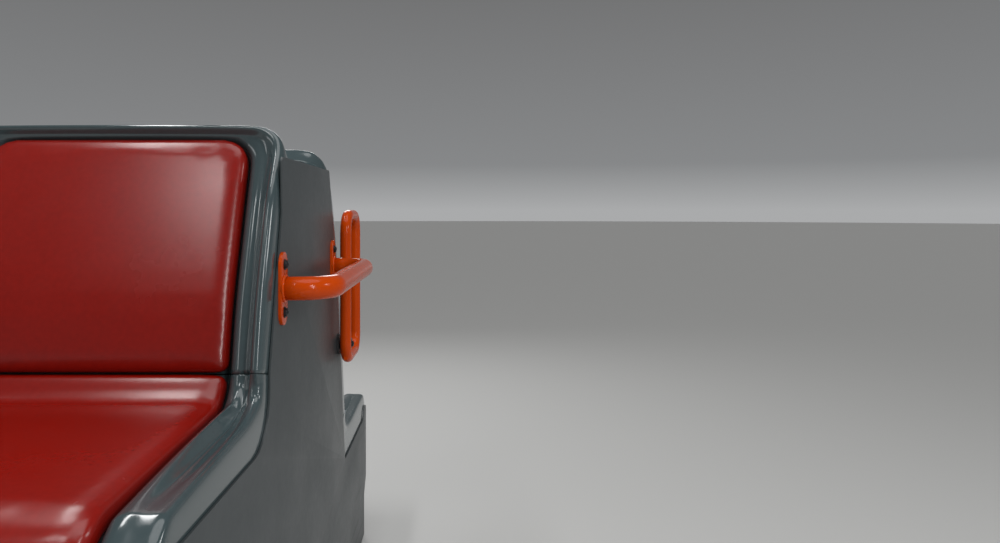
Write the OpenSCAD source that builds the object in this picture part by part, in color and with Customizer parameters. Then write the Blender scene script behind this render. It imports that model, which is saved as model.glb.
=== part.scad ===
// Back-to-back bus seat unit: a raised front seat that faces -Y, a lower rear seat that faces +Y,
// the casing between them, a fixed grab handle and a folding armrest on the aisle side (+X).
// Origin: middle of the floor frame, on the floor. +Z up.

/* [Seats] */
// Width of the upholstered pads
pad_w = 408; // [380:1:430]
// Width of the moulded rim at each side of a pad
rim_w = 59; // [52:1:70]
// Gap between a pad and the rim round it
pad_gap = 4; // [3:0.5:6]
// Depth of the recess that a pad lies in
recess_depth = 27; // [20:1:32]
// Wall of the moulded shells
shell_t = 5; // [4:0.5:6]
// Radius of the bend between seat and back
bight_r = 55; // [50:1:80]
// Radius of the nose of a seat
nose_r = 50; // [48:1:60]

/* [Front seat] */
// Height of the front seat at the bend
front_seat_z = 629; // [600:1:660]
// Distance from the unit's middle to the front seat's bend
front_bight_y = 325; // [315:1:350]
// Distance from the bend to the nose of the front seat
front_seat_d = 400; // [380:1:420]
// Slope of the front seat, down towards its nose
front_slope = 1.5; // [0:0.1:3]
// Rake of the lower part of the front back, from upright
front_low_rake = 13; // [8:0.5:16]
// Rake of its upper part
front_top_rake = 21; // [17:0.5:24]
// Lengths of the front back: below the lumbar curve, the curve, and above it
front_low_l = 100; // [90:1:120]
front_curve_l = 80; // [60:1:140]
front_top_l = 255; // [220:1:280]

/* [Rear seat] */
// Height of the rear seat at the bend
rear_seat_z = 375; // [360:1:400]
// Distance from the unit's middle to the rear seat's bend
rear_bight_y = 372; // [360:1:385]
// Distance from the bend to the nose of the rear seat
rear_seat_d = 395; // [380:1:410]
// Slope of the rear seat, down towards its nose
rear_slope = -2.3; // [-4:0.1:0]
// Rake of the lower part of the rear back, from upright
rear_low_rake = 12; // [8:0.5:16]
// Rake of its upper part
rear_top_rake = 27; // [22:0.5:30]
// Lengths of the rear back: below the lumbar curve, the curve, and above it
rear_low_l = 110; // [90:1:130]
rear_curve_l = 476; // [400:2:520]
rear_top_l = 112; // [90:1:140]

/* [Casing] */
// Thickness of the side panels, risers and cover
panel_t = 3; // [2:0.5:4]
// How far the side panels' top edge lies below the lower of the two backs
panel_drop = 43; // [38:1:60]
// How far the panels' edge lies before the front back's line
panel_lead = 12; // [8:1:16]
// Length of the front back's upper part that the panels' edge follows
panel_follow = 98; // [80:2:120]
// How far the panels' edge lies behind the rear back's line, and how far at its top
panel_tuck = 24; // [20:1:30]
panel_tuck_top = 10; // [8:1:20]
// How far the side panels stay below the front seat's edge
front_lap = 52; // [46:1:56]
// How far the side panels stay below the rear seat's edge
rear_lap = 53; // [46:1:60]
// Height of the set-back toe at the foot of the risers
toe_h = 110; // [80:5:140]
// Depth of the set-back toe
toe_d = 40; // [20:5:60]

/* [Frame] */
// Diameter of the seat frames' tubes
hoop_d = 28; // [24:1:32]
// Distance between the two tubes of a seat frame
hoop_span = 300; // [240:10:360]
// Distance from the bend to the nearer and the farther cross tube of a seat frame
cross_near = 40; // [30:5:60]
cross_far = 210; // [180:10:240]
// Side of the square legs and cross tubes
leg_w = 30; // [25:1:35]
// Width of the floor frame's bars
floor_bar_w = 60; // [50:1:70]
// Thickness of the floor frame's bars
floor_bar_t = 6; // [5:0.5:8]
// Height of the floor frame's upstand
floor_edge_h = 40; // [30:1:50]
// Diameter of the floor bolt holes
floor_bolt_d = 11; // [9:0.5:14]
// Spacing of the floor bolts across the unit
floor_bolt_x = 474; // [465:1:480]
// Spacing of the floor bolts along the unit
floor_bolt_y = 1000; // [980:10:1020]

/* [Grab handle] */
// Diameter of the handle tube
handle_d = 36; // [30:1:38]
// Height of the handle above the floor
handle_z = 788; // [770:1:810]
// Place of the handle's front leg
handle_front_y = -262; // [-266:1:-240]
// Place of the handle's rear leg
handle_rear_y = 180; // [120:1:184]
// Distance from the side panel to the middle of the tube
handle_reach = 73; // [65:1:90]
// Radius of the tube's bends
handle_bend_r = 48; // [40:1:50]
// Height of an oval flange
flange_h = 110; // [100:1:120]
// Width of an oval flange
flange_w = 40; // [38:1:42]
// Thickness of a flange
flange_t = 5; // [4:0.5:6]
// Distance between the two bolts of a flange
flange_bolts = 72; // [66:1:76]
// Diameter of the flanges' bolt holes
flange_hole_d = 7; // [5:0.5:8]

/* [Armrest] */
// Diameter of the armrest's tube
arm_d = 24; // [20:1:26]
// Length of the loop, measured over the tube
arm_l = 338; // [320:1:360]
// Width of the loop, measured over the tube
arm_w = 172; // [150:1:180]
// Radius of the loop's corners, to the middle of the tube
arm_r = 40; // [30:1:45]
// Place of the armrest's pivot along the unit
pivot_y = 271; // [262:1:275]
// Height of the armrest's pivot
pivot_z = 610; // [600:1:620]
// Distance from the pivot to the middle of the tubes beside it
pivot_in = 30; // [28:1:34]
// Clearance between the loop and the side panel
arm_clear = 8; // [6:0.5:12]
// Diameter of the pivot pin
pin_d = 12; // [10:1:14]
// Play of the pin in the loop's lug, on the radius
pin_play = 0.2; // [0.15:0.05:0.3]

/* [Hidden] */
$fn = 64;

fit = 0.3;               // gap between pieces that touch
slate = [0.36, 0.41, 0.42];
casing = [0.45, 0.46, 0.47];
steel = [0.30, 0.31, 0.33];
orange = [0.86, 0.30, 0.04];
red = [0.50, 0.05, 0.06];
black = [0.10, 0.10, 0.11];

pad_half = pad_w / 2;
shell_half = pad_half + pad_gap + rim_w;
panel_in = shell_half + fit;
panel_out = panel_in + panel_t;
nose_drop = 25;          // straight front edge below the nose

// A seat is a line seen from the side. It runs up the front edge, over the nose, along the seat,
// round the bend and up the back with its lumbar curve. Each row holds a length and the angle
// turned over it.
function seat_rows(depth, slope, low_rake, top_rake, low_l, curve_l, top_l) =
    let (turn = 90 - low_rake - slope,
         tangent = bight_r * tan(turn / 2))
    [[nose_drop, 0],
     [nose_r * (90 - slope) * PI / 180, slope - 90],
     [(depth - nose_r * (1 - sin(slope))) / cos(slope) - tangent, 0],
     [bight_r * turn * PI / 180, turn],
     [low_l - tangent, 0],
     [curve_l, low_rake - top_rake],
     [top_l, 0]];

// Start of the line: [y, z] of the lower end of the front edge
function seat_start(bight_y, seat_z, depth, slope) =
    [-bight_y - depth,
     seat_z - (depth - nose_r * (1 - sin(slope))) * tan(slope) - nose_r * cos(slope) - nose_drop];

front = [seat_start(front_bight_y, front_seat_z, front_seat_d, front_slope),
    seat_rows(front_seat_d, front_slope, front_low_rake, front_top_rake,
        front_low_l, front_curve_l, front_top_l)];
rear = [seat_start(rear_bight_y, rear_seat_z, rear_seat_d, rear_slope),
    seat_rows(rear_seat_d, rear_slope, rear_low_rake, rear_top_rake,
        rear_low_l, rear_curve_l, rear_top_l)];

// Walks along the rows: gives [y, z, angle] at a distance from the start
function step(p, row, d) =
    row[1] == 0 ? [p[0] + d * cos(p[2]), p[1] + d * sin(p[2]), p[2]]
    : let (r = row[0] / (row[1] * PI / 180), a = p[2] + row[1] * d / row[0])
      [p[0] + r * (sin(a) - sin(p[2])), p[1] - r * (cos(a) - cos(p[2])), a];
function walk(rows, d, p, i = 0) =
    i == len(rows) - 1 || d <= rows[i][0] ? step(p, rows[i], d)
    : walk(rows, d - rows[i][0], step(p, rows[i], rows[i][0]), i + 1);

// The point at distance d along a seat's line, h above its surface and x to the side
function on_seat(seat, x, d, h) =
    let (p = walk(seat[1], d, [seat[0][0], seat[0][1], 90]))
    [x, p[0] - h * sin(p[2]), p[1] + h * cos(p[2])];
function row_end(seat, n) = n == 0 ? 0 : row_end(seat, n - 1) + seat[1][n - 1][0];
function top_end(seat) = row_end(seat, len(seat[1]));

function smooth(t) = let (u = min(1, max(0, t))) u * u * (3 - 2 * u);
function mix(a, b, t) = a + (b - a) * t;

// Sections of a shell, from the skirt over the outer ridge, the groove and the inner ridge to the
// recess. Columns: inset at the side, inset at the closed end, corner radius, and the height
// above the seat line at the closed end, along the middle and at the open end by the bend.
seat_rim = [
    [0, 0, 40, -38, -74, -60],
    [0, 0, 40, -9, -10, 24],
    [1, 2, 39, -4, -2, 36],
    [4, 3.5, 38, -1.5, 1, 42],
    [9, 7, 37, 0, 2, 45],
    [14, 10, 36, 0, 1, 44],
    [19, 12, 35, 0, -1, 38],
    [24, 14, 34, 0, -3, 24],
    [29, 16, 34, 0, -2, 12],
    [34, 18, 33, 0.5, 6, 10],
    [40, 20, 32, 1, 14, 13],
    [47, 22.5, 31, 0.5, 10, 9],
    [rim_w, 25, 30, -2, 0, 0],
    [rim_w + 2, 27, 28, 4 - recess_depth, 4 - recess_depth, 4 - recess_depth],
    [rim_w + 8, 33, 26, -recess_depth, -recess_depth, -recess_depth],
    [shell_half - 70, 46, 26, -recess_depth, -recess_depth, -recess_depth]];
back_rim = [
    [0, 10, 66, -30, -46, -60],
    [0, 8, 64, -8, 2, 0],
    [1, 4, 58, 5, 28, 32],
    [4, 3, 54, 12, 36, 42],
    [9, 6, 52, 15, 40, 45],
    [14, 10, 50, 16, 41, 44],
    [19, 14, 48, 14, 36, 38],
    [24, 17, 46, 9, 22, 24],
    [29, 19, 45, 5, 10, 12],
    [34, 20.5, 44, 3.5, 9, 10],
    [40, 22.5, 43, 3, 13, 13],
    [47, 24.5, 42, 1.5, 10, 9],
    [rim_w, 27, 42, -2, 0, 0],
    [rim_w + 2, 29, 40, 4 - recess_depth, 4 - recess_depth, 4 - recess_depth],
    [rim_w + 8, 35, 36, -recess_depth, -recess_depth, -recess_depth],
    [shell_half - 70, 45, 30, -recess_depth, -recess_depth, -recess_depth]];

corner_steps = 6;
ramp = 110;              // length over which a rim changes towards its ends
skirt_ramp = 24;         // the same for the skirt's lower edge

// One open ring of a shell: up one side, round the closed end, down the other side. The closed
// end is at distance shut and the open end at distance open along the seat's line. Each point
// holds its place across, its distance along the line and its height above it.
function shell_ring(row, fade, open, shut, settle, stations) =
    let (dir = shut > open ? 1 : -1,
         w = shell_half - row[0],
         end = shut - dir * row[1],
         r = row[2],
         corner = [for (i = [0 : corner_steps - 1]) let (a = 90 * i / (corner_steps - 1))
             [w - r + r * cos(a), end - dir * (r - r * sin(a)), smooth(a / 90)]],
         side = concat([for (s = stations) [w, s, 0]], corner),
         loop = concat([for (p = side) p],
             [for (i = [len(side) - 1 : -1 : 0]) [-side[i][0], side[i][1], side[i][2]]]))
    [for (p = loop)
        let (near_end = max(p[2], smooth(1 - (abs(p[1] - shut) - settle) / fade)),
             near_open = smooth(1 - abs(p[1] - open) / ramp))
        [p[0], p[1], mix(mix(row[4], row[5], near_open), row[3], near_end)]];

// The same ring on the hidden side of the wall: each point goes in square to the skin
function hidden_ring(rings, k, dir) =
    let (ring = rings[k], n = len(ring),
         before = rings[max(0, k - 1)], after = rings[min(len(rings) - 1, k + 1)])
    [for (i = [0 : n - 1])
        let (along = ring[min(n - 1, i + 1)] - ring[max(0, i - 1)],
             square = dir * cross(after[i] - before[i], along),
             flat = i == 0 || i == n - 1 ? [square[0], 0, square[2]] : square)
        ring[i] + flat * shell_t / norm(flat)];

module shell(seat, rim, open, shut, settle, stations) {
    dir = shut > open ? 1 : -1;
    k = len(rim);
    outer = [for (j = [0 : k - 1])
        shell_ring(rim[j], j == 0 ? skirt_ramp : ramp, open, shut, settle, stations)];
    inner = [for (j = [0 : k - 1]) hidden_ring(outer, j, dir)];
    n = len(outer[0]);
    half = n / 2;
    points = [for (ring = concat(outer, inner), p = ring) on_seat(seat, p[0], p[1], p[2])];
    skin_out = [for (j = [0 : k - 2], i = [0 : n - 2])
        let (a = j * n + i) [a, a + 1, a + n + 1, a + n]];
    skin_in = [for (j = [k : 2 * k - 2], i = [0 : n - 2])
        let (a = j * n + i) [a, a + n, a + n + 1, a + 1]];
    out = (k - 1) * n;
    in = (2 * k - 1) * n;
    floor_out = [for (i = [0 : half - 2]) [out + i, out + i + 1, out + n - 2 - i, out + n - 1 - i]];
    floor_in = [for (i = [0 : half - 2]) [in + i, in + n - 1 - i, in + n - 2 - i, in + i + 1]];
    edge = [for (i = [0 : n - 2]) [i, k * n + i, k * n + i + 1, i + 1]];
    cut = [for (j = [0 : k - 2])
        let (a = j * n, b = (k + j) * n)
        each [[a, a + n, b + n, b], [a + n - 1, b + n - 1, b + 2 * n - 1, a + 2 * n - 1]]];
    floor_cut = [out, out + n - 1, in + n - 1, in];
    quads = concat(skin_out, skin_in, floor_out, floor_in, edge, cut, [floor_cut]);
    faces = [for (q = quads) each [[q[0], q[1], q[2]], [q[0], q[2], q[3]]]];
    polyhedron(points, dir > 0 ? faces : [for (f = faces) [f[2], f[1], f[0]]]);
}

// Room that the rings' corners take at the closed end of a back, and the steps below it
corner_room = 80;
back_steps = 12;
bend_steps = 7;

// Places along the seat's line where the rings have points: closer together in the bends
function seat_stations(seat) =
    let (a = row_end(seat, 1), b = row_end(seat, 2), c = row_end(seat, 3), d = row_end(seat, 4))
    concat([for (i = [0 : bend_steps]) mix(d - fit, c, i / bend_steps)],
        [c - 40, c - 90, c - 150, b + 60, b + 20], [b, b - 7, b - 14]);
function back_stations(seat) =
    let (d = row_end(seat, 4) + fit)
    [for (i = [0 : back_steps]) mix(d, top_end(seat) - corner_room, i / back_steps)];

module seat_shell(seat) {
    shell(seat, seat_rim, row_end(seat, 4) - fit, 0, row_end(seat, 2), seat_stations(seat));
}
module back_shell(seat) {
    shell(seat, back_rim, row_end(seat, 4) + fit, top_end(seat), 40, back_stations(seat));
}

// A pad: closed rings round its edge, then a crown. Columns: inset, height, corner radius at
// the closed end of the recess, corner radius at the bend.
pad_rows = [[9, 2 * fit - recess_depth, 29, 4], [2, 5 - recess_depth, 36, 11], [0, -6, 38, 12],
    [1, 1, 37, 11], [5, 5.5, 35, 9], [14, 8.5, 30, 6], [30, 9.5, 14, 4]];
pad_turn = 46;           // room that the rings' corners take at the closed end

module pad(seat, closed, open, stations) {
    dir = open > closed ? 1 : -1;
    rings = [for (row = pad_rows)
        let (w = pad_half - row[0], a = closed + dir * row[0], b = open - dir * row[0],
             ra = row[2], rb = row[3],
             first = [for (i = [0 : 4]) [w - ra + ra * sin(i * 22.5), a + dir * (ra - ra * cos(i * 22.5))]],
             last = [for (i = [0 : 4]) [w - rb + rb * cos(i * 22.5), b - dir * (rb - rb * sin(i * 22.5))]],
             side = concat(first, [for (s = stations) [w, s]], last),
             loop = concat(side, [for (i = [len(side) - 1 : -1 : 0]) [-side[i][0], side[i][1]]]))
        [for (p = loop) on_seat(seat, p[0], p[1], row[1])]];
    n = len(rings[0]);
    k = len(rings);
    half = n / 2;
    points = [for (ring = rings) each ring];
    skin = [for (j = [0 : k - 2], i = [0 : n - 1])
        [j * n + i, j * n + (i + 1) % n, (j + 1) * n + (i + 1) % n, (j + 1) * n + i]];
    crown = [for (i = [0 : half - 2]) [(k - 1) * n + i, (k - 1) * n + i + 1, (k - 1) * n + n - 2 - i,
        (k - 1) * n + n - 1 - i]];
    under = [for (i = [0 : half - 2]) [i, n - 1 - i, n - 2 - i, i + 1]];
    tris = [for (q = concat(skin, crown, under)) each [[q[0], q[1], q[2]], [q[0], q[2], q[3]]]];
    polyhedron(points, dir > 0 ? tris : [for (f = tris) [f[2], f[1], f[0]]]);
}
module seat_pad(seat) {
    b = row_end(seat, 2);
    c = row_end(seat, 3);
    d = row_end(seat, 4);
    closed = seat_rim[len(seat_rim) - 4][1] + pad_gap;
    pad(seat, closed, d - 1, concat([for (i = [0 : 4]) mix(closed + pad_turn, b, i / 4)],
        [b + 20, b + 60, c - 150, c - 90, c - 40],
        [for (i = [0 : 3]) mix(c, d - fit, i / bend_steps)]));
}
module back_pad(seat) {
    open = row_end(seat, 4) + 2;
    closed = top_end(seat) - back_rim[len(back_rim) - 4][1] - pad_gap;
    pad(seat, closed, open, [for (i = [0 : 8]) mix(closed - pad_turn, open + pad_turn, i / 8)]);
}

module turn_rear() { rotate([0, 0, 180]) children(); }

// Corner rounding for outlines: each point is [y, z, radius]
function rounded(points, n = 6) =
    [for (i = [0 : len(points) - 1])
        let (a = points[(i + len(points) - 1) % len(points)], p = points[i],
             b = points[(i + 1) % len(points)],
             u = [a[0] - p[0], a[1] - p[1]] / norm([a[0] - p[0], a[1] - p[1]]),
             v = [b[0] - p[0], b[1] - p[1]] / norm([b[0] - p[0], b[1] - p[1]]),
             half = acos(u * v) / 2, t = p[2] / tan(half),
             mid = (u + v) / norm(u + v), c = [p[0], p[1]] + mid * p[2] / sin(half),
             from = [p[0], p[1]] + u * t - c, to = [p[0], p[1]] + v * t - c,
             a0 = atan2(from[1], from[0]), a1 = atan2(to[1], to[0]),
             sweep = a1 - a0 > 180 ? a1 - a0 - 360 : a1 - a0 < -180 ? a1 - a0 + 360 : a1 - a0)
        each (p[2] == 0 ? [[p[0], p[1]]]
            : [for (k = [0 : n]) let (g = a0 + sweep * k / n) c + p[2] * [cos(g), sin(g)]])];

// Draws a [y, z] outline as a sheet that runs from x0 to x1
module across(points, x0, x1) {
    translate([x0, 0, 0]) rotate([90, 0, 90]) linear_extrude(x1 - x0) polygon(points);
}

// Outer faces of the risers, and the heights of the lips that they end below
front_face_y = -front_bight_y - front_seat_d + 14;
rear_face_y = rear_bight_y + rear_seat_d - 14;
front_lip_z = front[0][1] - fit;
rear_lip_z = rear[0][1] - fit;

// Heights of the panels' edge below each seat, and its points along the backs and the noses
front_edge_z = front_seat_z - front_lap;
rear_edge_z = rear_seat_z - rear_lap;
function edge_point(seat, d, h, r, side) =
    let (p = on_seat(seat, 0, d, h)) [side * p[1], p[2], r];
front_nose = edge_point(front, row_end(front, 2), seat_rim[0][3] + 2, 0, 1);
rear_nose = edge_point(rear, row_end(rear, 2), seat_rim[0][3] + 2, 10, -1);
upright = edge_point(front, row_end(front, 6) + panel_follow, panel_lead, 30, 1);

// Tops of the two backs, and the panels' top edge below them
front_top_z = on_seat(front, 0, top_end(front), 0)[2];
rear_top_z = on_seat(rear, 0, top_end(rear), 0)[2];
panel_top = min(front_top_z, rear_top_z) - panel_drop;
rear_edge_end = top_end(rear) - (rear_top_z - panel_top - panel_tuck_top * sin(rear_top_rake))
    / cos(rear_top_rake);

panel_outline = rounded(concat([
    [front_face_y + toe_d, 0, 0],
    [front_face_y + toe_d, toe_h, 12],
    [front_face_y, toe_h + toe_d, 12],
    [front_face_y, front_nose[1], 14],
    [-front_bight_y, front_edge_z, 76],
    edge_point(front, row_end(front, 4), panel_lead, 40, 1),
    upright,
    [upright[0], panel_top, 8]],
    [for (i = [0 : 5]) edge_point(rear, mix(rear_edge_end, row_end(rear, 4), i / 5),
        -mix(panel_tuck_top, panel_tuck, min(1, i / 2)), i == 0 ? 8 : 60, -1)],
    [[rear_bight_y - 6, rear_edge_z, 14],
    [rear_nose[0] - skirt_ramp, rear_edge_z, 10],
    rear_nose,
    [rear_face_y, rear_nose[1], 14],
    [rear_face_y, toe_h + toe_d, 12],
    [rear_face_y - toe_d, toe_h, 12],
    [rear_face_y - toe_d, 0, 0]]));

module side_panel() {
    across(panel_outline, panel_in, panel_out);
}

// A riser: a bent sheet between the side panels, set back at the toe
module riser(face, lip, sign) {
    outer = [[face - sign * toe_d, 0], [face - sign * toe_d, toe_h],
        [face, toe_h + toe_d], [face, lip]];
    inner = [for (i = [len(outer) - 1 : -1 : 0]) [outer[i][0] - sign * panel_t, outer[i][1]]];
    across(concat(outer, inner), fit - panel_in, panel_in - fit);
}

// Lower edges of the two backs' top skirts, and the cover that closes the gap between them
front_top = on_seat(front, 0, top_end(front) - back_rim[0][1], back_rim[0][3]);
rear_top = on_seat(rear, 0, top_end(rear) - back_rim[0][1], back_rim[0][3]);
cover_z = panel_top - 4;
cover_gap = 6;           // from an upstand to the skirt above it
cover_turn = 20;         // downturned edges of the cover
cover_slant = 50;        // width of the slanted ends of its upstands

module top_cover() color(slate) {
    y0 = front_top[1] + fit;
    y1 = -rear_top[1] - fit;
    z0 = front_top[2] - cover_gap;
    z1 = rear_top[2] - cover_gap;
    low = cover_z - panel_t - cover_turn;
    half = shell_half;
    high = max(z0, z1);
    intersection() {
        across([[y0, z0], [y0 + panel_t, z0], [y0 + 3 * panel_t, cover_z],
            [y1 - 3 * panel_t, cover_z], [y1 - panel_t, z1], [y1, z1],
            [y1, low], [y1 - panel_t, low],
            [y1 - panel_t, cover_z - panel_t], [y0 + panel_t, cover_z - panel_t],
            [y0 + panel_t, low], [y0, low]], -half, half);
        translate([0, y1 + 1, 0]) rotate([90, 0, 0]) linear_extrude(y1 - y0 + 2)
            polygon(rounded([[-half, low - 1, 0], [half, low - 1, 0], [half, cover_z + 1, 4],
                [half - cover_slant, high, 20], [cover_slant - half, high, 20],
                [-half, cover_z + 1, 4]]));
    }
}

weld = 0.5;              // growth of the weld beads over the tubes
hoop_gap = 0.6;          // from the beads to the shells
hoop_over = 50;          // length of a tube past the farther cross tube
hoop_short = 70;         // from a tube's upper end to the top of the back

// Level of the seat frames' tubes, under the floors of the recesses
hoop_h = -recess_depth - shell_t - hoop_gap - (hoop_d + weld) / 2;

// One tube that follows a seat's line at hoop_h: straight parts, the bend and the lumbar curve
module hoop_tube(seat, x) {
    ends = [for (i = [3 : 6]) row_end(seat, i)];
    for (part = [[ends[0] - cross_far - hoop_over, ends[0]], [ends[1], ends[2]],
            [ends[3], top_end(seat) - hoop_short]])
        rod(on_seat(seat, x, part[0], hoop_h), on_seat(seat, x, part[1], hoop_h), hoop_d);
    for (s = ends)
        rod(on_seat(seat, x, s - 2, hoop_h), on_seat(seat, x, s + 2, hoop_h), hoop_d + weld);
    hoop_bend(seat, x, 3);
    hoop_bend(seat, x, 5);
}

// The tube's bend along one turning row of a seat's line. Its centre is above the line for the
// bend and behind it for the lumbar curve.
module hoop_bend(seat, x, i) {
    turn = seat[1][i][1];
    side = turn > 0 ? 1 : -1;
    r = seat[1][i][0] / (abs(turn) * PI / 180);
    from = row_end(seat, turn > 0 ? i : i + 1);
    a = walk(seat[1], from, [seat[0][0], seat[0][1], 90])[2];
    translate(on_seat(seat, x, from, side * r)) rotate([90, 0, 90]) rotate([0, 0, a - side * 90])
        rotate_extrude(angle = abs(turn)) translate([r - side * hoop_h, 0]) circle(d = hoop_d);
}
module rod(a, b, d) {
    v = b - a;
    translate(a) rotate([0, acos(v[2] / norm(v)), atan2(v[1], v[0])]) cylinder(d = d, h = norm(v));
}

// A seat frame: two bent tubes on two cross tubes with four legs
module seat_frame(seat) {
    c = row_end(seat, 3);
    half = shell_half - shell_t - fit;
    for (x = [-hoop_span / 2, hoop_span / 2]) hoop_tube(seat, x);
    for (back = [cross_near, cross_far]) {
        p = on_seat(seat, 0, c - back, hoop_h);
        top = p[2] - hoop_d / 2 + 2;
        translate([-half, p[1] - leg_w / 2, top - leg_w]) cube([2 * half, leg_w, leg_w]);
        for (side = [-1, 1])
            translate([side * (half - leg_w / 2) - leg_w / 2, p[1] - leg_w / 2, floor_bar_t])
                cube([leg_w, leg_w, top - floor_bar_t - leg_w / 2]);
    }
    tie = on_seat(seat, 0, top_end(seat) - hoop_short - hoop_d, hoop_h);
    rod([-hoop_span / 2, tie[1], tie[2]], [hoop_span / 2, tie[1], tie[2]], hoop_d);
}

module floor_frame() color(steel) {
    half = panel_in - fit;
    y0 = front_face_y + toe_d + panel_t + fit;
    y1 = rear_face_y - toe_d - panel_t - fit;
    difference() {
        translate([-half, y0, 0]) cube([2 * half, y1 - y0, floor_edge_h]);
        translate([panel_t - half, y0 + panel_t, floor_bar_t])
            cube([2 * (half - panel_t), y1 - y0 - 2 * panel_t, floor_edge_h]);
        translate([floor_bar_w - half, y0 + floor_bar_w, -1])
            cube([2 * (half - floor_bar_w), y1 - y0 - 2 * floor_bar_w, floor_edge_h]);
        for (x = [-1, 1], y = [-1, 1])
            translate([x * floor_bolt_x / 2, y * floor_bolt_y / 2, -1])
                cylinder(d = floor_bolt_d, h = floor_bar_t + 2);
    }
}

module front_frame() color(steel) seat_frame(front);
module rear_frame() color(steel) turn_rear() seat_frame(rear);
module aisle_panel() color(casing) side_panel();
module wall_panel() color(casing) mirror([1, 0, 0]) side_panel();
module front_riser() color(casing) riser(front_face_y, front_lip_z, -1);
module rear_riser() color(casing) riser(rear_face_y, rear_lip_z, 1);
module front_seat_shell() color(slate) seat_shell(front);
module front_back_shell() color(slate) back_shell(front);
module rear_seat_shell() color(slate) turn_rear() seat_shell(rear);
module rear_back_shell() color(slate) turn_rear() back_shell(rear);
module front_seat_pad() color(red) seat_pad(front);
module front_back_pad() color(red) back_pad(front);
module rear_seat_pad() color(red) turn_rear() seat_pad(rear);
module rear_back_pad() color(red) turn_rear() back_pad(rear);

// The grab handle: two legs, two bends and the run between them
module handle_tube() color(orange) {
    foot = panel_out + flange_t;
    run_x = panel_out + handle_reach;
    r = handle_bend_r;
    translate([0, 0, handle_z]) {
        for (leg = [[handle_front_y, 1], [handle_rear_y, -1]]) {
            translate([foot, leg[0], 0]) rotate([0, 90, 0]) cylinder(d = handle_d, h = run_x - r - foot);
            translate([run_x - r, leg[0] + leg[1] * r, 0]) rotate([0, 0, leg[1] > 0 ? -90 : 0])
                rotate_extrude(angle = 90) translate([r, 0]) circle(d = handle_d);
        }
        translate([run_x, handle_front_y + r, 0]) rotate([-90, 0, 0])
            cylinder(d = handle_d, h = handle_rear_y - handle_front_y - 2 * r);
    }
}

// An oval flange with its two bolt holes, flat on the side panel
module handle_flange(y) {
    straight = flange_h - flange_w;
    translate([panel_out, y, handle_z]) rotate([0, 90, 0]) difference() {
        union() {
            translate([-straight / 2, -flange_w / 2, 0]) cube([straight, flange_w, flange_t]);
            for (side = [-1, 1]) translate([side * straight / 2, 0, 0])
                cylinder(d = flange_w, h = flange_t);
        }
        for (side = [-1, 1]) translate([side * flange_bolts / 2, 0, -1])
            cylinder(d = flange_hole_d, h = flange_t + 2);
    }
}
module handle_flange_front() color(orange) handle_flange(handle_front_y);
module handle_flange_rear() color(orange) handle_flange(handle_rear_y);

// The folding armrest. Its loop stands upright at rest and turns down towards +Y.
arm_x = panel_out + arm_clear + arm_d / 2;
lug_t = 8;
boss_d = 26;

module armrest_bracket() color(black) {
    translate([panel_out, pivot_y, pivot_z]) rotate([0, 90, 0]) {
        cylinder(d = 46, h = 4);
        cylinder(d = boss_d, h = arm_x - lug_t / 2 - fit - panel_out);
        cylinder(d = pin_d, h = arm_x + lug_t / 2 + fit - panel_out);
    }
}
module armrest_cap() color(black) {
    translate([arm_x + lug_t / 2 + fit, pivot_y, pivot_z]) rotate([0, 90, 0])
        cylinder(d = 26, h = 4);
}
module armrest_loop() color(orange) {
    y0 = pivot_y - pivot_in;
    y1 = y0 + arm_w - arm_d;
    z0 = pivot_z - pivot_in;
    z1 = z0 + arm_l - arm_d;
    r = arm_r;
    difference() {
        union() {
            for (y = [y0, y1]) rod([arm_x, y, z0 + r], [arm_x, y, z1 - r], arm_d);
            for (z = [z0, z1]) rod([arm_x, y0 + r, z], [arm_x, y1 - r, z], arm_d);
            for (bend = [[y0 + r, z0 + r, 180], [y1 - r, z0 + r, 270], [y1 - r, z1 - r, 0],
                    [y0 + r, z1 - r, 90]])
                translate([arm_x, bend[0], bend[1]]) rotate([90, 0, 90]) rotate([0, 0, bend[2]])
                    rotate_extrude(angle = 90) translate([r, 0]) circle(d = arm_d);
            translate([arm_x - lug_t / 2, y0, z0]) cube([lug_t, pivot_in + 14, pivot_in + 4]);
            translate([arm_x - lug_t / 2, pivot_y, pivot_z]) rotate([0, 90, 0])
                cylinder(d = 36, h = lug_t);
        }
        translate([arm_x - lug_t, pivot_y, pivot_z]) rotate([0, 90, 0])
            cylinder(r = pin_d / 2 + pin_play, h = 2 * lug_t);
    }
}

floor_frame();
front_frame();
rear_frame();
aisle_panel();
wall_panel();
front_riser();
rear_riser();
top_cover();
front_seat_shell();
front_back_shell();
rear_seat_shell();
rear_back_shell();
front_seat_pad();
front_back_pad();
rear_seat_pad();
rear_back_pad();
handle_tube();
handle_flange_front();
handle_flange_rear();
armrest_bracket();
armrest_cap();
armrest_loop();
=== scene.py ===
# Looks of a back-to-back bus seat unit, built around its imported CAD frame.
# Metres, +Z up; the raised seat faces -Y, the lower seat +Y, the aisle is at +X.
from math import cos, radians, sin

import bpy
import numpy as np
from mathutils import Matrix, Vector
from mathutils.bvhtree import BVHTree


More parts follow.
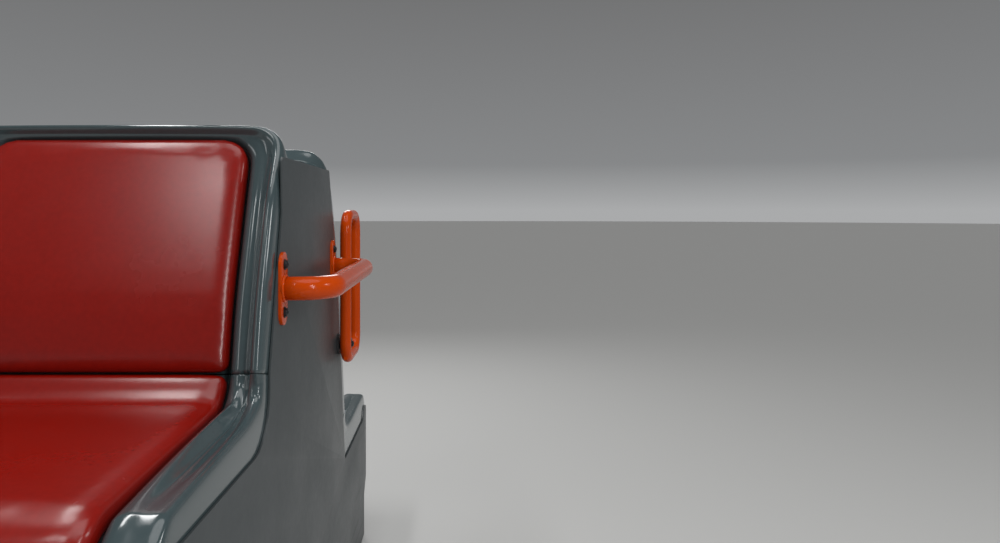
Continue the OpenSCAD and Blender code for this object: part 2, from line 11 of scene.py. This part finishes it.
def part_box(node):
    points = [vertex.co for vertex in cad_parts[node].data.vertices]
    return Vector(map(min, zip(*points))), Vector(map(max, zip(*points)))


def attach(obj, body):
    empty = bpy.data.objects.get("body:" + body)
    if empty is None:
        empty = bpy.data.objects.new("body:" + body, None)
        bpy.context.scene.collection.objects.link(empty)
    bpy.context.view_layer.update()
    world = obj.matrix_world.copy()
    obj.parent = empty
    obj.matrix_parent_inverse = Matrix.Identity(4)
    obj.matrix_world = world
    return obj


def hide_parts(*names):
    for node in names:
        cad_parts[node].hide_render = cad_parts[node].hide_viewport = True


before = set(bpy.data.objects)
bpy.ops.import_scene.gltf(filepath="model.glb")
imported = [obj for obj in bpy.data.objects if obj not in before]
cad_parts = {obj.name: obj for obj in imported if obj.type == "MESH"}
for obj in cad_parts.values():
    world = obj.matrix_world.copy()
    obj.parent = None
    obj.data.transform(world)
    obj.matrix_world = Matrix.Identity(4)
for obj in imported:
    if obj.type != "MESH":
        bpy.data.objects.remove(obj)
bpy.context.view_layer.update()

# Moulded shells
# Four injection-moulded shells carry the pads: a seat and a back for each side. They are thick
# slate plastic with a high gloss, with a ridge at the outer edge and a smaller one by the pad.
# Each clips over its tube frame from above, so no fastener shows.


def pick(piece):
    """Makes a piece the only selected and active object"""
    bpy.ops.object.select_all(action="DESELECT")
    piece.select_set(True)
    bpy.context.view_layer.objects.active = piece


WELD = 0.00002           # corners nearer than this are merged into one


def copy_of(node, name):
    """A merged copy of a CAD solid, to be refined and shown in its place"""
    piece = bpy.data.objects.new(name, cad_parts[node].data.copy())
    bpy.context.scene.collection.objects.link(piece)
    pick(piece)
    bpy.ops.object.mode_set(mode="EDIT")
    bpy.ops.mesh.select_all(action="SELECT")
    bpy.ops.mesh.remove_doubles(threshold=WELD)
    bpy.ops.object.mode_set(mode="OBJECT")
    return piece


def apply_all(piece):
    """Applies a piece's modifiers from the first to the last"""
    pick(piece)
    for modifier in list(piece.modifiers):
        bpy.ops.object.modifier_apply(modifier=modifier.name)


def clothe(piece, material):
    """Gives a piece one material all over"""
    piece.data.materials.clear()
    piece.data.materials.append(material)


def new_group(name, inputs, outputs):
    """A shader node group with named number and colour sockets"""
    tree = bpy.data.node_groups.new(name, "ShaderNodeTree")
    for label, kind, value in inputs:
        socket = tree.interface.new_socket(label, in_out="INPUT", socket_type=kind)
        socket.default_value = value
    for label, kind in outputs:
        tree.interface.new_socket(label, in_out="OUTPUT", socket_type=kind)
    return tree, tree.nodes.new("NodeGroupInput"), tree.nodes.new("NodeGroupOutput")


def feed(tree, socket, value):
    """Links another socket to an input, or sets the input to a number or a colour"""
    if isinstance(value, bpy.types.NodeSocket):
        tree.links.new(value, socket)
    else:
        socket.default_value = value


def math_node(tree, operation, *values):
    """A Math node whose two or three inputs are sockets or numbers"""
    node = tree.nodes.new("ShaderNodeMath")
    node.operation = operation
    for socket, value in zip(node.inputs, values):
        feed(tree, socket, value)
    return node.outputs[0]


def cloud(tree, scale, detail, coordinates=None):
    """Noise on the piece's own coordinates, with its scale in cells per metre"""
    if coordinates is None:
        coordinates = tree.nodes.new("ShaderNodeTexCoord").outputs["Object"]
    node = tree.nodes.new("ShaderNodeTexNoise")
    node.inputs["Detail"].default_value = detail
    tree.links.new(coordinates, node.inputs["Vector"])
    feed(tree, node.inputs["Scale"], scale)
    return node.outputs["Fac"]


def ramp_of(tree, value, low, high, start=0.0, end=1.0):
    """A Map Range node: what lies between low and high is spread from start to end"""
    node = tree.nodes.new("ShaderNodeMapRange")
    for label, given in (("Value", value), ("From Min", low), ("From Max", high),
                         ("To Min", start), ("To Max", end)):
        feed(tree, node.inputs[label], given)
    return node.outputs["Result"]


def blend_of(tree, share, start, end):
    """A Mix node that goes from one colour to another"""
    node = tree.nodes.new("ShaderNodeMix")
    node.data_type = "RGBA"
    for label, given in (("Factor", share), ("A", start), ("B", end)):
        feed(tree, node.inputs[label], given)
    return node.outputs["Result"]


def make_colour_drift():
    """Slow change of a colour over a surface, with finer mottling inside it"""
    tree, given, out = new_group(
        "colour_drift",
        [("Light", "NodeSocketColor", (1, 1, 1, 1)), ("Dark", "NodeSocketColor", (0, 0, 0, 1)),
         ("Scale", "NodeSocketFloat", 3.0), ("Fine", "NodeSocketFloat", 120.0)],
        [("Color", "NodeSocketColor")])
    wide = cloud(tree, given.outputs["Scale"], 3.0)
    fine = cloud(tree, given.outputs["Fine"], 2.0)
    both = math_node(tree, "MULTIPLY_ADD", wide, 0.7, math_node(tree, "MULTIPLY", fine, 0.3))
    share = ramp_of(tree, both, 0.32, 0.68)
    mixed = blend_of(tree, share, given.outputs["Dark"], given.outputs["Light"])
    tree.links.new(mixed, out.inputs["Color"])
    return tree


def make_handled_gloss():
    """Roughness of a surface that hands and clothes polish: smears in a slow and a fine noise"""
    tree, given, out = new_group(
        "handled_gloss",
        [("Smooth", "NodeSocketFloat", 0.2), ("Rough", "NodeSocketFloat", 0.4),
         ("Scale", "NodeSocketFloat", 6.0), ("Rubs", "NodeSocketFloat", 90.0)],
        [("Roughness", "NodeSocketFloat")])
    wide = cloud(tree, given.outputs["Scale"], 4.0)
    rubs = cloud(tree, given.outputs["Rubs"], 2.0)
    both = math_node(tree, "MULTIPLY_ADD", rubs, 0.25, math_node(tree, "MULTIPLY", wide, 0.75))
    gloss = ramp_of(tree, both, 0.35, 0.65, given.outputs["Smooth"], given.outputs["Rough"])
    tree.links.new(gloss, out.inputs["Roughness"])
    return tree


def make_skin_grain():
    """Height of a moulded or embossed grain: small rounded cells over a faint swell"""
    tree, given, out = new_group(
        "skin_grain",
        [("Cells", "NodeSocketFloat", 800.0), ("Swell", "NodeSocketFloat", 0.3)],
        [("Height", "NodeSocketFloat")])
    place = tree.nodes.new("ShaderNodeTexCoord")
    cells = tree.nodes.new("ShaderNodeTexVoronoi")
    cells.feature = "SMOOTH_F1"
    tree.links.new(place.outputs["Object"], cells.inputs["Vector"])
    tree.links.new(given.outputs["Cells"], cells.inputs["Scale"])
    fine = math_node(tree, "MULTIPLY", cells.outputs["Distance"], -1.0)
    swell = math_node(tree, "MULTIPLY", cloud(tree, 45.0, 3.0), given.outputs["Swell"])
    tree.links.new(math_node(tree, "ADD", fine, swell), out.inputs["Height"])
    return tree


colour_drift = make_colour_drift()
handled_gloss = make_handled_gloss()
skin_grain = make_skin_grain()


def finish_material(name, light, dark, smooth, rough, grain, depth, drift=3.0, fine=120.0,
                    smears=6.0, rubs=90.0, swell=0.3, metallic=0.0, coat=0.0, coat_rough=0.1,
                    shine=0.5):
    """A material with colour drift, uneven gloss and a bump grain of a given depth in metres"""
    material = bpy.data.materials.new(name)
    material.use_nodes = True
    tree = material.node_tree
    shader = tree.nodes["Principled BSDF"]
    shader.inputs["Metallic"].default_value = metallic
    shader.inputs["Specular IOR Level"].default_value = shine
    shader.inputs["Coat Weight"].default_value = coat
    shader.inputs["Coat Roughness"].default_value = coat_rough

    def place(group, values):
        node = tree.nodes.new("ShaderNodeGroup")
        node.node_tree = group
        for label, value in values.items():
            node.inputs[label].default_value = value
        return node

    colour = place(colour_drift, {"Light": (*light, 1), "Dark": (*dark, 1), "Scale": drift,
                                  "Fine": fine})
    gloss = place(handled_gloss, {"Smooth": smooth, "Rough": rough, "Scale": smears,
                                  "Rubs": rubs})
    cells = place(skin_grain, {"Cells": grain, "Swell": swell})
    bump = tree.nodes.new("ShaderNodeBump")
    bump.inputs["Strength"].default_value = 1.0
    bump.inputs["Distance"].default_value = depth
    tree.links.new(colour.outputs["Color"], shader.inputs["Base Color"])
    tree.links.new(gloss.outputs["Roughness"], shader.inputs["Roughness"])
    tree.links.new(cells.outputs["Height"], bump.inputs["Height"])
    tree.links.new(bump.outputs["Normal"], shader.inputs["Normal"])
    return material


slate_gloss = finish_material(
    "slate_gloss", light=(0.052, 0.076, 0.082), dark=(0.041, 0.061, 0.066), smooth=0.11,
    rough=0.18, grain=1400, depth=0.00001, coat=0.25, coat_rough=0.05, shine=0.5)

BACK_RAKE = radians(21)  # lean of the front back's top part
BACK_UP = Vector((0, sin(BACK_RAKE), cos(BACK_RAKE)))
RIM_START = 0.003        # the top rim is drawn in from this far below the top
RIM_END = 0.027          # the recess for the pad starts here
RIM_LIFT = 0.0065        # how much higher the recess comes to lie
RIM_FADE = 0.180         # the lift has died out here
front_top = max(vertex.co.dot(BACK_UP)
                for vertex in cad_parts["front_back_shell"].data.vertices)


def narrow_rim(piece):
    """Draws the front back's recess or pad up towards its top edge, and fades that out below"""
    for vertex in piece.data.vertices:
        below = front_top - vertex.co.dot(BACK_UP)
        share = np.interp(below, (RIM_START, RIM_END, RIM_FADE), (0.0, 1.0, 0.0))
        vertex.co += BACK_UP * float(RIM_LIFT * share * share * (3 - 2 * share)
                                     if below > RIM_END else RIM_LIFT * share)


QUAD_TURN = radians(60)  # two triangles that turn by less than this may become one quad
QUAD_SKEW = radians(120)
CUT_ANGLE = radians(75)  # an edge that turns by more than this was cut after moulding
CUT_CREASE = 0.92        # how firmly the cut edges stay where they are
SKIN_FLOW = 4            # rounds of easing that let the ridges flow into each other
SKIN_SHADE = radians(40)


def moulding(node, name):
    """A shell as it leaves the mould: quads rebuilt, then rounded, with its cut edges kept"""
    piece = copy_of(node, name)
    if node == "front_back_shell":
        narrow_rim(piece)
    bpy.ops.object.mode_set(mode="EDIT")
    bpy.ops.mesh.select_all(action="SELECT")
    bpy.ops.mesh.tris_convert_to_quads(face_threshold=QUAD_TURN, shape_threshold=QUAD_SKEW)
    bpy.ops.mesh.select_all(action="DESELECT")
    bpy.ops.mesh.select_mode(type="EDGE")
    bpy.ops.mesh.edges_select_sharp(sharpness=CUT_ANGLE)
    bpy.ops.object.mode_set(mode="OBJECT")
    crease = piece.data.attributes.new("crease_edge", "FLOAT", "EDGE")
    cut = {corner for edge in piece.data.edges if edge.select for corner in edge.vertices}
    open_skin = piece.vertex_groups.new(name="open_skin")
    for edge in piece.data.edges:
        crease.data[edge.index].value = CUT_CREASE if edge.select else 0.0
    for vertex in piece.data.vertices:
        open_skin.add([vertex.index], 0.0 if vertex.index in cut else 1.0, "REPLACE")
    piece.modifiers.new("first_rounding", "SUBSURF")
    flow = piece.modifiers.new("flow", "SMOOTH")
    flow.factor = 0.5
    flow.iterations = SKIN_FLOW
    flow.vertex_group = "open_skin"
    piece.modifiers.new("second_rounding", "SUBSURF")
    for modifier in piece.modifiers:
        if modifier.type == "SUBSURF":
            modifier.levels = modifier.render_levels = 1
    apply_all(piece)
    bpy.ops.object.shade_smooth_by_angle(angle=SKIN_SHADE)
    clothe(piece, slate_gloss)
    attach(piece, "unit")
    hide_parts(node)
    return piece


shells = {node: moulding(node, node.replace("shell", "moulding")) for node in
          ("front_seat_shell", "front_back_shell", "rear_seat_shell", "rear_back_shell")}

# Pads
# Foam pads in deep red vinyl lie in the shells' recesses, one for each seat and each back.
# The skin is drawn tight over the foam with a soft rolled edge, and its fine grain is
# polished in places.
vinyl = finish_material(
    "red_vinyl", light=(0.250, 0.0045, 0.0008), dark=(0.180, 0.0032, 0.0006), smooth=0.22,
    rough=0.28, grain=640, depth=0.00002, drift=2.2, smears=4.0, rubs=30.0, swell=0.6,
    shine=0.5)
PAD_VOXEL = 0.0045
TALL_PAD_VOXEL = 0.0056  # the rear back's pad is the largest
PAD_PRESSURE = 4.0
PAD_SWELL = 0.0016       # most that a point of the skin may move
PAD_HELD = 0.0022        # points nearer than this to the shell stay where they are
PAD_EVEN = 10            # rounds in which the foam evens out the skin's swelling
SKIN_STIFFNESS = 25.0
SWELL_FRAMES = 20        # steps of the simulation


def swell_foam(piece, near):
    """Swells a pad by pressure, and keeps what lies along the normals, evened over the skin"""
    count = len(piece.data.vertices)
    start = np.empty(count * 3, dtype=np.float32)
    end = np.empty(count * 3, dtype=np.float32)
    outward = np.empty(count * 3, dtype=np.float32)
    ends = np.empty(len(piece.data.edges) * 2, dtype=np.int32)
    piece.data.vertices.foreach_get("co", start)
    piece.data.vertices.foreach_get("normal", outward)
    piece.data.edges.foreach_get("vertices", ends)
    ends = ends.reshape(-1, 2)
    outward = outward.reshape(-1, 3)
    cloth = piece.modifiers.new("foam", "CLOTH")
    cloth.settings.use_pressure = True
    cloth.settings.uniform_pressure_force = PAD_PRESSURE
    cloth.settings.vertex_group_mass = "held"
    cloth.settings.tension_stiffness = SKIN_STIFFNESS
    cloth.settings.compression_stiffness = SKIN_STIFFNESS
    cloth.settings.effector_weights.gravity = 0.0
    cloth.point_cache.frame_end = SWELL_FRAMES
    for number in range(1, SWELL_FRAMES + 1):
        bpy.context.scene.frame_set(number)
    apply_all(piece)
    piece.data.vertices.foreach_get("co", end)
    swell = np.clip(((end - start).reshape(-1, 3) * outward).sum(axis=1), 0.0, PAD_SWELL)
    neighbours = np.bincount(ends.ravel(), minlength=count)
    for _ in range(PAD_EVEN):
        total = np.bincount(ends[:, 0], swell[ends[:, 1]], count)
        total += np.bincount(ends[:, 1], swell[ends[:, 0]], count)
        swell = 0.5 * swell + 0.5 * total / neighbours
    swell[near] = 0.0
    piece.data.vertices.foreach_set(
        "co", (start.reshape(-1, 3) + outward * swell[:, None]).astype(np.float32).ravel())
    bpy.context.scene.frame_set(1)


def cushion(node, shell, name):
    """A vinyl pad: remeshed, swollen where it is free of its shell, smoothed"""
    piece = copy_of(node, name)
    if node == "front_back_pad":
        narrow_rim(piece)
    skin = piece.modifiers.new("skin", "REMESH")
    skin.mode = "VOXEL"
    skin.voxel_size = TALL_PAD_VOXEL if node == "rear_back_pad" else PAD_VOXEL
    apply_all(piece)
    recess = BVHTree.FromObject(shell, bpy.context.evaluated_depsgraph_get())
    near = [vertex.index for vertex in piece.data.vertices
            if recess.find_nearest(vertex.co)[3] < PAD_HELD]
    piece.vertex_groups.new(name="held").add(near, 1.0, "REPLACE")
    swell_foam(piece, near)
    ease = piece.modifiers.new("ease", "SMOOTH")
    ease.factor = 0.5
    ease.iterations = 3
    finer = piece.modifiers.new("finer", "SUBSURF")
    finer.levels = finer.render_levels = 1
    apply_all(piece)
    bpy.ops.object.shade_smooth()
    clothe(piece, vinyl)
    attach(piece, "unit")
    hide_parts(node)


for part in ("front_seat", "front_back", "rear_seat", "rear_back"):
    cushion(part + "_pad", shells[part + "_shell"], part + "_cushion")

# Casing
# Two side panels and two risers close the unit down to the floor. They are folded sheet with a
# satin grey coat, and shoes have scuffed them in long streaks near the floor.
satin_grey = finish_material(
    "satin_grey", light=(0.054, 0.063, 0.066), dark=(0.042, 0.050, 0.053), smooth=0.34,
    rough=0.44, grain=700, depth=0.00002, drift=1.6, fine=60.0, swell=0.5, shine=0.4)

SCUFF_REACH = 0.42       # the marks have died out at this height
SCUFF_TONE = (0.17, 0.18, 0.18, 1)
SCUFF_SHARE = 0.7        # how much of the coat's colour a full mark hides
SCUFF_STRETCH = (1.0, 0.10, 2.2)     # the marks lie long and low along the unit


def add_scuffs(material):
    """Pale streaks, duller than the coat, that fade out with the height above the floor"""
    tree = material.node_tree
    place = tree.nodes.new("ShaderNodeTexCoord").outputs["Object"]
    split = tree.nodes.new("ShaderNodeSeparateXYZ")
    tree.links.new(place, split.inputs["Vector"])
    near = ramp_of(tree, split.outputs["Z"], 0.0, SCUFF_REACH, 1.0, 0.0)
    flat = tree.nodes.new("ShaderNodeMapping")
    flat.inputs["Scale"].default_value = SCUFF_STRETCH
    tree.links.new(place, flat.inputs["Vector"])
    marks = ramp_of(tree, cloud(tree, 26.0, 7.0, flat.outputs["Vector"]), 0.57, 0.70)
    mask = math_node(tree, "MULTIPLY", math_node(tree, "MULTIPLY", marks, near), SCUFF_SHARE)
    shader = tree.nodes["Principled BSDF"]
    colour = shader.inputs["Base Color"].links[0].from_socket
    gloss = shader.inputs["Roughness"].links[0].from_socket
    tree.links.new(blend_of(tree, mask, colour, SCUFF_TONE), shader.inputs["Base Color"])
    tree.links.new(math_node(tree, "MULTIPLY_ADD", mask, 0.3, gloss), shader.inputs["Roughness"])


add_scuffs(satin_grey)

SHEET_EDGE = 0.0005      # width of a coated sheet's eased edge
SOFT_EDGE = 0.0012       # width of the cover's and the flanges' eased edges
FLAT_TURN = radians(0.6)     # faces that turn by less than this are one flat face
FOLD_TURN = radians(40)      # edges that turn by more than this are eased


def sheet_metal(node, name, material, edge):
    """A sheet part with its flat faces rejoined and its edges eased"""
    piece = copy_of(node, name)
    bpy.ops.object.mode_set(mode="EDIT")
    bpy.ops.mesh.select_all(action="SELECT")
    bpy.ops.mesh.dissolve_limited(angle_limit=FLAT_TURN)
    bpy.ops.object.mode_set(mode="OBJECT")
    ease = piece.modifiers.new("edges", "BEVEL")
    ease.width = edge
    ease.segments = 3
    ease.limit_method = "ANGLE"
    ease.angle_limit = FOLD_TURN
    apply_all(piece)
    bpy.ops.object.shade_smooth_by_angle(angle=radians(30))
    clothe(piece, material)
    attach(piece, "unit")
    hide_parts(node)


for node in ("aisle_panel", "wall_panel", "front_riser", "rear_riser"):
    sheet_metal(node, node + "_sheet", satin_grey, SHEET_EDGE)

# Top cover
# A moulded cover closes the gap between the two backs, with upstands that tuck up behind
# their skirts. It has the shells' plastic and gloss.
sheet_metal("top_cover", "top_cover_moulding", slate_gloss, SOFT_EDGE)

# Steel frames
# Round tubes on square cross tubes and legs stand on a bolted floor frame. The welded steel
# has a dark, dull powder coat with a pitted skin.
frame_coat = finish_material(
    "frame_coat", light=(0.050, 0.052, 0.055), dark=(0.030, 0.031, 0.033), smooth=0.42,
    rough=0.62, grain=1800, depth=0.00004, drift=6.0)
for node in ("floor_frame", "front_frame", "rear_frame"):
    clothe(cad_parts[node], frame_coat)

# Grab handle
# A bent steel tube is welded to two oval flanges, with a bead round each leg, and all of it has
# bright orange powder coat. Black socket screws hold each flange to the aisle panel.
orange_coat = finish_material(
    "orange_coat", light=(0.580, 0.060, 0.0010), dark=(0.490, 0.048, 0.0008), smooth=0.13,
    rough=0.22, grain=420, depth=0.00002, drift=8.0, fine=400.0, smears=14.0, swell=1.0,
    coat=0.05, coat_rough=0.05, shine=0.16)
black_oxide = finish_material(
    "black_oxide", light=(0.035, 0.035, 0.038), dark=(0.015, 0.015, 0.017), smooth=0.30,
    rough=0.52, grain=2600, depth=0.00002, metallic=0.55)
tube_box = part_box("handle_tube")
TUBE_R = 0.018
TUBE_BEND = 0.048        # radius of the bends at the tube's middle line
TUBE_SIDES = 48
BEND_STEPS = 18
BEAD_R = 0.0026
BEAD_WAVE = 0.00035      # how far the bead's ripples rise
BEAD_RIPPLES = 24
tube_z = (tube_box[0][2] + tube_box[1][2]) / 2
tube_x = tube_box[1][0] - TUBE_R
foot_x = tube_box[0][0]
leg_y = (tube_box[0][1] + TUBE_R, tube_box[1][1] - TUBE_R)


def bent_tube(name, start, heading, path):
    """A tube drawn along straight runs and bends: (run,) goes on, (centre, axis, angle) turns"""
    bpy.ops.object.select_all(action="DESELECT")
    bpy.ops.mesh.primitive_circle_add(vertices=TUBE_SIDES, radius=TUBE_R, location=start)
    piece = bpy.context.object
    piece.name = name
    turn = Vector((0, 0, 1)).rotation_difference(Vector(heading))
    piece.rotation_mode = "QUATERNION"
    piece.rotation_quaternion = turn
    bpy.ops.object.transform_apply(location=True, rotation=True, scale=True)
    bpy.ops.object.mode_set(mode="EDIT")
    bpy.ops.mesh.select_all(action="SELECT")
    for part in path:
        if len(part) == 1:
            bpy.ops.mesh.extrude_region_move(TRANSFORM_OT_translate={"value": part[0]})
        else:
            bpy.ops.mesh.spin(steps=BEND_STEPS, dupli=False, angle=part[2], center=part[0],
                              axis=part[1])
    bpy.ops.mesh.select_all(action="SELECT")
    bpy.ops.mesh.remove_doubles(threshold=WELD)
    bpy.ops.mesh.normals_make_consistent(inside=False)
    bpy.ops.object.mode_set(mode="OBJECT")
    bpy.ops.object.shade_smooth()
    return piece


front_bend = (tube_x - TUBE_BEND, leg_y[0] + TUBE_BEND, tube_z)
rear_bend = (tube_x - TUBE_BEND, leg_y[1] - TUBE_BEND, tube_z)
handle = bent_tube(
    "handle_bar", (foot_x, leg_y[0], tube_z), (1, 0, 0),
    [((front_bend[0] - foot_x, 0, 0),),
     (front_bend, (0, 0, 1), -radians(90)),
     ((0, rear_bend[1] - front_bend[1], 0),),
     (rear_bend, (0, 0, 1), -radians(90)),
     ((foot_x - rear_bend[0], 0, 0),)])
bpy.ops.object.mode_set(mode="EDIT")
bpy.ops.mesh.select_all(action="DESELECT")
bpy.ops.mesh.select_mode(type="EDGE")
bpy.ops.mesh.select_non_manifold()
bpy.ops.mesh.edge_face_add()
bpy.ops.mesh.select_all(action="SELECT")
bpy.ops.mesh.normals_make_consistent(inside=False)
bpy.ops.object.mode_set(mode="OBJECT")
clothe(handle, orange_coat)
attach(handle, "unit")
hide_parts("handle_tube")

for node in ("handle_flange_front", "handle_flange_rear"):
    sheet_metal(node, node + "_plate", orange_coat, SOFT_EDGE)


def ring_bead(name, centre):
    """A weld bead: a ring about the X axis, half sunk in the flange and rippled as it was laid"""
    bpy.ops.object.select_all(action="DESELECT")
    bpy.ops.mesh.primitive_torus_add(major_radius=TUBE_R + 0.0008, minor_radius=BEAD_R,
                                     major_segments=72, minor_segments=10, location=centre,
                                     rotation=(0, radians(90), 0))
    bead = bpy.context.object
    bead.name = name
    bpy.ops.object.transform_apply(location=True, rotation=True, scale=True)
    for vertex in bead.data.vertices:
        angle = np.arctan2(vertex.co.z - centre[2], vertex.co.y - centre[1])
        rise = (vertex.co.x - centre[0]) / BEAD_R
        vertex.co.x += BEAD_WAVE * sin(angle * BEAD_RIPPLES) * rise
    bpy.ops.object.shade_smooth()
    clothe(bead, orange_coat)
    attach(bead, "unit")


for label, y in zip(("front", "rear"), leg_y):
    ring_bead("weld_bead_" + label, (foot_x + 0.001, y, tube_z))

# Flange screws
# Four button-head socket screws in black oxide, on thin washers, two to a flange. They turn
# through the flange's holes into the aisle panel.
SCREW_SPAN = 0.072       # between the two screws of a flange
HEAD_R = 0.0066
HEAD_H = 0.0042
SOCKET_R = 0.0026
WASHER_R = HEAD_R * 1.25
WASHER_H = 0.0012
DOME_STEPS = ((0.86, 0.27), (0.76, 0.16), (0.72, 0.08))     # narrowing and rise of each step
CROWN_R = HEAD_R * 0.471                                    # what the steps leave at the top


def socket_screw(name, place):
    """A button-head screw that looks along +X: washer, domed head and round recess for a key"""
    bpy.ops.object.select_all(action="DESELECT")
    bpy.ops.mesh.primitive_cylinder_add(vertices=36, radius=WASHER_R, depth=WASHER_H,
                                        location=(0, 0, WASHER_H / 2))
    screw = bpy.context.object
    screw.name = name
    bpy.ops.object.transform_apply(location=True, rotation=True, scale=True)
    bpy.ops.object.mode_set(mode="EDIT")
    bpy.ops.mesh.select_all(action="DESELECT")
    bpy.ops.mesh.select_mode(type="FACE")
    bpy.ops.object.mode_set(mode="OBJECT")
    for face in screw.data.polygons:
        face.select = face.normal.z > 0.9
    bpy.ops.object.mode_set(mode="EDIT")
    bpy.ops.mesh.inset(thickness=WASHER_R - HEAD_R)
    bpy.ops.mesh.extrude_region_move(TRANSFORM_OT_translate={"value": (0, 0, HEAD_H * 0.45)})
    for narrow, rise in DOME_STEPS:
        bpy.ops.mesh.extrude_region_move(TRANSFORM_OT_translate={"value": (0, 0, HEAD_H * rise)})
        bpy.ops.transform.resize(value=(narrow, narrow, 1), center_override=(0, 0, 0))
    bpy.ops.mesh.inset(thickness=CROWN_R - SOCKET_R)
    bpy.ops.mesh.extrude_region_move(TRANSFORM_OT_translate={"value": (0, 0, -HEAD_H * 0.6)})
    bpy.ops.mesh.select_all(action="SELECT")
    bpy.ops.mesh.normals_make_consistent(inside=False)
    bpy.ops.object.mode_set(mode="OBJECT")
    screw.rotation_euler = (0, radians(90), 0)
    screw.location = place
    bpy.ops.object.transform_apply(location=True, rotation=True, scale=True)
    bpy.ops.object.shade_smooth_by_angle(angle=radians(35))
    clothe(screw, black_oxide)
    return screw


for label, y in zip(("front", "rear"), leg_y):
    for end, side in (("upper", 1), ("lower", -1)):
        screw = socket_screw(f"flange_screw_{label}_{end}",
                             (foot_x, y, tube_z + side * SCREW_SPAN / 2))
        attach(screw, "unit")

# Armrest
# A closed loop of orange tube folds down from a black pivot on the aisle panel. A cap and a
# screw keep the loop on its pin.
black_plastic = finish_material(
    "black_plastic", light=(0.040, 0.041, 0.044), dark=(0.022, 0.022, 0.024), smooth=0.32,
    rough=0.50, grain=1600, depth=0.00005)
clothe(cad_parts["armrest_loop"], orange_coat)
for node in ("armrest_bracket", "armrest_cap"):
    clothe(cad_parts[node], black_plastic)
cap_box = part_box("armrest_cap")
cap_screw = socket_screw("cap_screw", (cap_box[1][0], (cap_box[0][1] + cap_box[1][1]) / 2,
                                       (cap_box[0][2] + cap_box[1][2]) / 2))
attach(cap_screw, "unit")

# Floor, light and camera
# A pale studio floor. Two narrow lamps hang overhead, as the strips in a bus do, four more
# stand round the unit, and a weak sun with a wide disc fills the shade.
bpy.ops.object.select_all(action="DESELECT")
bpy.ops.mesh.primitive_circle_add(vertices=128, radius=60.0, fill_type="NGON",
                                  location=(0, 0, -0.001))
floor = bpy.context.object
floor.name = "studio_floor"
floor_paint = bpy.data.materials.new("studio_floor_paint")
floor_paint.use_nodes = True
floor_shader = floor_paint.node_tree.nodes["Principled BSDF"]
floor_shader.inputs["Base Color"].default_value = (0.56, 0.56, 0.55, 1)
floor_shader.inputs["Roughness"].default_value = 0.7
clothe(floor, floor_paint)


def lamp(name, place, aim, size, watts):
    """A rectangular soft lamp aimed at a point"""
    data = bpy.data.lights.new(name, "AREA")
    data.shape = "RECTANGLE"
    data.size, data.size_y = size
    data.energy = watts
    body = bpy.data.objects.new(name, data)
    body.location = place
    body.rotation_euler = (Vector(aim) - Vector(place)).to_track_quat("-Z", "Y").to_euler()
    bpy.context.scene.collection.objects.link(body)


# Each lamp: name, place, aim, width and height, watts.
lamp("ceiling_front", (-0.50, -1.9, 2.55), (0.1, -0.25, 0.9), (0.34, 0.46), 6.5)
lamp("ceiling_strip", (-0.45, -0.10, 2.30), (-0.45, -0.10, 0), (0.18, 1.3), 12)
lamp("window_side", (-2.4, -1.3, 1.7), (0, -0.2, 0.8), (0.35, 1.7), 7)
lamp("front_right", (1.9, -2.6, 1.8), (0.1, -0.2, 0.8), (0.26, 2.0), 34)
lamp("aisle_side", (2.6, -0.7, 2.0), (0, 0, 0.75), (0.5, 0.5), 10)
lamp("behind", (-0.3, 3.0, 2.2), (0, 0.3, 0.6), (1.2, 1.0), 22)

sky = bpy.data.lights.new("sky", "SUN")
sky.energy = 0.95
sky.angle = radians(42)
sky_body = bpy.data.objects.new("sky", sky)
sky_body.rotation_euler = (radians(10), radians(9), 0)
bpy.context.scene.collection.objects.link(sky_body)

# The studio's wall is grey, and palest where it meets the floor.
world = bpy.data.worlds.new("studio")
bpy.context.scene.world = world
world.use_nodes = True
sky_tree = world.node_tree
direction = sky_tree.nodes.new("ShaderNodeTexCoord")
upward = sky_tree.nodes.new("ShaderNodeSeparateXYZ")
shade = sky_tree.nodes.new("ShaderNodeValToRGB")
shade.color_ramp.elements[0].position = 0.0
shade.color_ramp.elements[0].color = (0.40, 0.405, 0.41, 1)
shade.color_ramp.elements[1].position = 0.06
shade.color_ramp.elements[1].color = (0.24, 0.245, 0.25, 1)
for position, level in ((0.40, 0.13), (1.0, 0.13)):
    shade.color_ramp.elements.new(position).color = (level, level, level, 1)
sky_tree.links.new(direction.outputs["Generated"], upward.inputs["Vector"])
sky_tree.links.new(upward.outputs["Z"], shade.inputs["Fac"])
sky_tree.links.new(shade.outputs["Color"], sky_tree.nodes["Background"].inputs["Color"])

# The camera is level and looks along +Y. Its shift sets the unit at the left of the frame.
camera_data = bpy.data.cameras.new("camera")
camera_data.lens = 27.0
camera_data.sensor_width = 36.0
camera_data.shift_x = 0.04
camera_data.shift_y = -0.0615
camera_data.clip_start = 0.02
camera = bpy.data.objects.new("camera", camera_data)
camera.location = (0.539, -1.39, 0.906)
camera.rotation_euler = (radians(90), 0, 0)
bpy.context.scene.collection.objects.link(camera)
bpy.context.scene.camera = camera
bpy.context.scene.view_settings.view_transform = "Standard"
